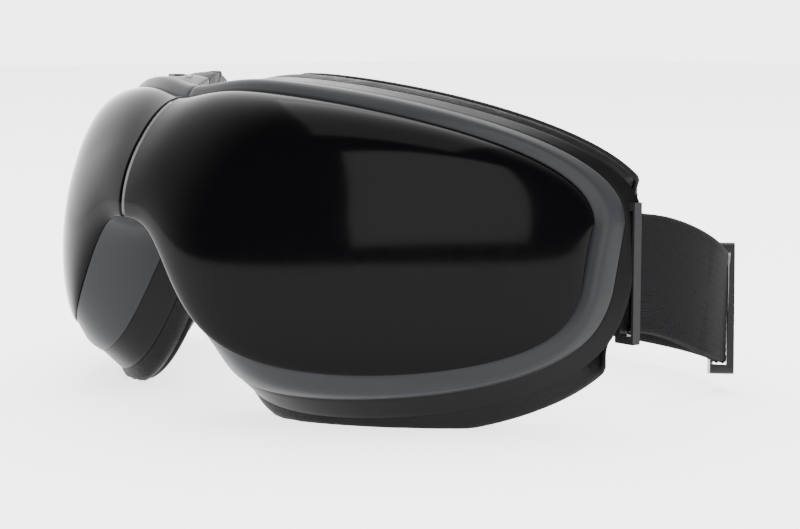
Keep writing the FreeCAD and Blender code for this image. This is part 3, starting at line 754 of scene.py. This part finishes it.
def make_eye_liner(materials):
    """Thin lined panel that closes the back of the housing inside the eye cavity."""
    ring = HOUSING_REAR.changed(half_width=-9.0, rise=-6.0, drop=-6.0, notch_top=5.0,
                                notch_width=3.0, seam=9.0, back=-1.0, back_temple=-0.6)
    verts, faces = face_grid(ring, 60, 50, lambda x, z, t: 0.0)
    verts = [folded_clear(v) for v in verts]
    liner = new_object("eye_liner", verts, faces, materials["airbag_skin"])
    thicken(liner, 1.0, 0.0)
    return both_halves(liner, "eye_liner")


def clear_of_strap(point):
    """Draw the cushion in at the temple, where the strap and its anchor pass."""
    if point.y > 66.0:
        away = smooth((abs(point.z - STRAP_TOP_Z) - 18.8) / 14.0)
        limit = 95.4 + 9.0 * away
        point.x = min(point.x, limit)
    return point


def rest_flat(point):
    point.z = max(point.z, 0.0)
    return point


def make_cushion(materials):
    """Padded ring of leatherette that flares out behind the housing."""
    front = HOUSING_REAR.changed(back=0.3, back_temple=0.3)
    outer = [front, CUSHION_RIM, CUSHION_SHOULDER, CUSHION_REAR]
    rounded = CUSHION_REAR.changed(half_width=-4.5, rise=-3.2, drop=-3.6, notch_width=2.5,
                                   notch_top=3.0, back=1.4, back_temple=1.8, seam=5.0)
    inner = [rounded, EYE_MOUTH, EYE_FLOOR.changed(back=0.8, back_temple=0.8)]
    loops = outlines(eased_rings(outer, 6) + eased_rings(inner, 8))
    loops = [[rest_flat(clear_of_strap(point)) for point in loop] for loop in loops]
    cushion = loft("face_cushion", loops, materials["cushion_leather"],
                   wrap=True)
    right, left = both_halves(cushion, "face_cushion", "face_cushion")


def tube(name, path, radius, material, sides=8):
    """Closed round cord along a loop of points."""
    count = len(path)
    loops = []
    for i, point in enumerate(path):
        along = (path[(i + 1) % count] - path[i - 1]).normalized()
        side = along.cross(Vector((0.0, 1.0, 0.0)))
        if side.length < 0.1:
            side = along.cross(Vector((0.0, 0.0, 1.0)))
        side.normalize()
        other = along.cross(side)
        loop = []
        for k in range(sides):
            angle = 2.0 * math.pi * k / sides
            spoke = side * math.cos(angle) + other * math.sin(angle)
            loop.append(point + spoke * radius)
        loops.append(loop)
    return loft(name, loops, material, wrap=True)


def make_piping(materials):
    """Welt sewn round the flared rim and round the mouth of the eye cavity."""
    rim = blended_ring([HOUSING_REAR, CUSHION_RIM, CUSHION_SHOULDER, CUSHION_REAR], 1.45)
    for base, ring in (("rim_piping", rim), ("mouth_piping", EYE_MOUTH)):
        path = outline_points(ring, 90, 16, 16)
        path = [folded_clear(clear_of_strap(point)) for point in path]
        for point in path:
            point.z = max(point.z, 1.0)
        welt = tube(base, path, 0.9, materials["cushion_leather"])
        both_halves(welt, base)


def pad_ring(lift, trim):
    back = HOUSING_REAR.back + lift
    return Ring(70.0 - trim, 22.0 - trim, 22.0 - trim, 4.0, back, back - 2.3, 25.0 + trim,
                61.5, deepen=6.0, seam=25.5 + trim, wrap_width=HOUSING_REAR.wrap_width,
                top_square=4.0)


def node_bumps(x, z):
    bump = 0.0
    for seat_x, seat_z in NODE_SEATS:
        reach = math.hypot(x - seat_x, z - seat_z)
        bump += 3.1 * math.exp(-(reach / 3.3)**4)
        bump -= 0.8 * math.exp(-((reach - 5.4) / 1.6)**2)
    return bump


def make_eye_pads(materials):
    """Inflatable pad under knit fabric, with the massage nodes standing through it."""
    ring = pad_ring(HEATER_LIFT, 0.4)
    middle = 0.5 * (ring.seam + ring.end_x())
    reach = 0.5 * (ring.end_x() - ring.seam)

    def crowned(x, z, t):
        across = min(abs((x - middle) / reach), 1.0)
        up = abs(2.0 * t - 1.0)
        edge = ((1.0 - across**5) * (1.0 - up**5))**0.5
        return edge * (PAD_THICK - 0.4 + node_bumps(x, z))

    verts, faces = face_grid(ring, 120, 90, crowned)
    base, base_faces = face_grid(ring, 120, 90, lambda x, z, t: 0.0)
    faces += [tuple(i + len(verts) for i in face) for face in base_faces]
    pad = new_object("eye_pad", verts + base, faces, materials["airbag_skin"])
    pad.name = "eye_pad_right_look"
    left = mirror_copy(pad, "eye_pad_left_look")
    for piece, side in ((pad, "right"), (left, "left")):
        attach(piece, side + "_eye_pad")
        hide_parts("eye_airbag_" + side, "massage_nodes_" + side)


def make_temple_pads(materials):
    """Small pillow on the temple side of each eye cavity."""
    x, z = 79.0, 47.0
    turn = turn_at(x)
    lean = math.atan(LEAN * math.cos(turn))
    middle = Vector((x, HOUSING_REAR.surface_y(x, z), z))
    middle -= Vector((math.sin(turn), -math.cos(turn), 0.0)) * 4.2
    turned = Matrix.Rotation(turn, 3, "Z") @ Matrix.Rotation(-lean, 3, "X")
    loops = []
    for i in range(1, 24):
        up = math.pi * i / 24 - 0.5 * math.pi
        ring_size = math.cos(up)**0.5
        loop = []
        for k in range(36):
            angle = 2.0 * math.pi * k / 36
            u = math.copysign(abs(math.cos(angle))**0.7, math.cos(angle))
            v = math.copysign(abs(math.sin(angle))**0.7, math.sin(angle))
            height = 9.9 * math.sin(up)
            tuck = 1.0 - 0.06 * math.cos(6.0 * up)
            spot = Vector((3.4 * u * ring_size, 2.3 * v * ring_size * tuck, height))
            loop.append(middle + turned @ spot)
        loops.append(loop)
    pad = loft("temple_pad", loops, materials["airbag_skin"])
    close_ends(pad)
    right, left = both_halves(pad, "temple_pad", "temple_airbag")


def close_ends(obj):
    work = bmesh.new()
    work.from_mesh(obj.data)
    border = [edge for edge in work.edges if edge.is_boundary]
    bmesh.ops.holes_fill(work, edges=border)
    bmesh.ops.recalc_face_normals(work, faces=work.faces)
    for face in work.faces:
        face.smooth = True
    work.to_mesh(obj.data)
    work.free()


def make_bridge_cover(materials):
    """Ribbed soft bellows behind the hinge, carried by the bridge."""
    low_y = HINGE_Y + 5.0
    high_y = HINGE_Y + 13.0
    near = 3.9
    far = 10.7
    loops = []
    heights = [53.1 + 30.4 * k / 40 for k in range(41)]
    for z in heights:
        end = min(z - 53.1, 83.5 - z)
        pinch = 1.0 - 0.25 * math.exp(-end / 1.2)
        loop = [Vector((-near * pinch, low_y, z)), Vector((near * pinch, low_y, z))]
        pleats = 60
        for k in range(pleats + 1):
            x = far - 2.0 * far * k / pleats
            wave = 0.5 - 0.5 * math.cos(2.0 * math.pi * 7.0 * k / pleats)
            y = high_y - 0.2 - 1.8 * (1.0 - wave) - 1.2 * math.exp(-end / 1.2)
            loop.append(Vector((x * pinch, y, z)))
        loops.append(loop)
    cover = loft("bridge_cover_look", loops, materials["bridge_rubber"],
                 clear=False)
    close_ends(cover)
    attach(cover, "bridge")
    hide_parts("bridge_cover")
    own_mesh(cover)


# ---- strap -----------------------------------------------------------------------------


def strap_point(angle):
    """Middle of the strap at an angle from 0, at the +X temple, to pi at the other."""
    power = 2.0 / STRAP_SQUARENESS
    across = math.cos(angle)
    x = math.copysign(STRAP_HALF_SPAN * abs(across)**power, across)
    y = STRAP_START_Y + STRAP_LOOP_DEPTH * max(math.sin(angle), 0.0)**power
    drop = (STRAP_TOP_Z - STRAP_LOW_Z) * smooth((y - STRAP_START_Y) / 70.0)
    return Vector((x, y, STRAP_TOP_Z - drop))


def strap_axes(angle):
    along = (strap_point(angle + 0.002) - strap_point(angle - 0.002)).normalized()
    inward = Vector((-along.y, along.x, 0.0)).normalized()
    return along, inward, along.cross(inward)


def angle_at_y(y):
    part = (y - STRAP_START_Y) / STRAP_LOOP_DEPTH
    return math.asin(part**(STRAP_SQUARENESS / 2.0))


def webbing_profile():
    """Cross-section of the webbing: across its width, and through its thickness."""
    half = 0.5 * STRAP_WIDTH
    thick = 0.5 * STRAP_THICK
    spans = 48
    outer = []
    for k in range(spans + 1):
        v = -half + STRAP_WIDTH * k / spans
        edge = half - abs(v)
        rib = 0.07 * math.cos(2.0 * math.pi * v / 2.0)
        swell = 0.12 * math.exp(-((edge - 1.4) / 0.7)**2)
        round_off = min(edge / 0.7, 1.0)
        height = thick * (1.0 - (1.0 - round_off)**2)**0.5
        outer.append((v, -(height - 0.15 + rib * round_off + swell * round_off)))
    return outer + [(v, -d) for v, d in reversed(outer[1:-1])]


def webbing(name, angles, materials, offset=0.0, length=0.0):
    """Flat woven band along the strap line, with its weave laid out in millimetres."""
    profile = webbing_profile()
    loops = []
    lengths = []
    before = strap_point(angles[0])
    for angle in angles:
        _, inward, up = strap_axes(angle)
        point = strap_point(angle)
        length += (point - before).length
        before = point
        lengths.append(length)
        middle = point + inward * offset
        loops.append([middle + up * v + inward * d for v, d in profile])
    band = loft(name, loops, materials["strap_fabric"], clear=False)
    layer = band.data.uv_layers.new(name="weave")
    for loop in band.data.loops:
        position = band.data.vertices[loop.vertex_index].co / MM
        position.y += ORIGIN_Y
        nearest = nearest_angle(position, angles)
        _, inward, up = strap_axes(angles[nearest])
        across = (position - strap_point(angles[nearest])).dot(up)
        layer.data[loop.index].uv = (lengths[nearest], across)
    return band, length


def nearest_angle(position, angles):
    best = 0
    distance = 1e9
    for index, angle in enumerate(angles):
        spot = strap_point(angle)
        gap = (spot.x - position.x)**2 + (spot.y - position.y)**2
        if gap < distance:
            best = index
            distance = gap
    return best


def angles_between(low, high, count):
    return [low + (high - low) * i / count for i in range(count + 1)]


def make_strap(materials):
    split = angle_at_y(SIDE_END_Y + 0.05)
    first = angle_at_y(SIDE_START_Y)
    side, length = webbing("strap_side_right_look", angles_between(first, split, 26),
                           materials)
    rear, _ = webbing("strap_rear_look", angles_between(split, math.pi - split, 150),
                      materials, length=length)
    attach(rear, "bridge")
    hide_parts("strap_rear_band")
    left = mirror_copy(side, "strap_side_left_look")
    last = angle_at_y(ADJUSTER_Y)
    inner, _ = webbing("strap_return_look", angles_between(first, last, 50), materials,
                       LAYER_OFFSET)
    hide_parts("strap_side_right")
    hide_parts("strap_side_left")
    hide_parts("strap_return_layer")
    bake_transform(side)
    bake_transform(left)
    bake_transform(inner)


# ---- build -----------------------------------------------------------------------------

materials = make_materials()
add_camera()
add_floor()
add_world()
add_softbox("overhead", (0.1, 0.1, 1.6), (0.0, 0.0, 0.0), 2.2, 1.2, 26.0)
add_softbox("window", (2.1, -1.0, 1.1), (0.0, 0.0, 0.05), 2.0, 1.8, 60.0)
paint_cad_nodes(materials)
make_front_shell(materials)
make_mid_frame(materials)
make_rear_housing(materials)
make_eye_liner(materials)
make_cushion(materials)
make_piping(materials)
make_eye_pads(materials)
make_temple_pads(materials)
make_bridge_cover(materials)
make_strap(materials)
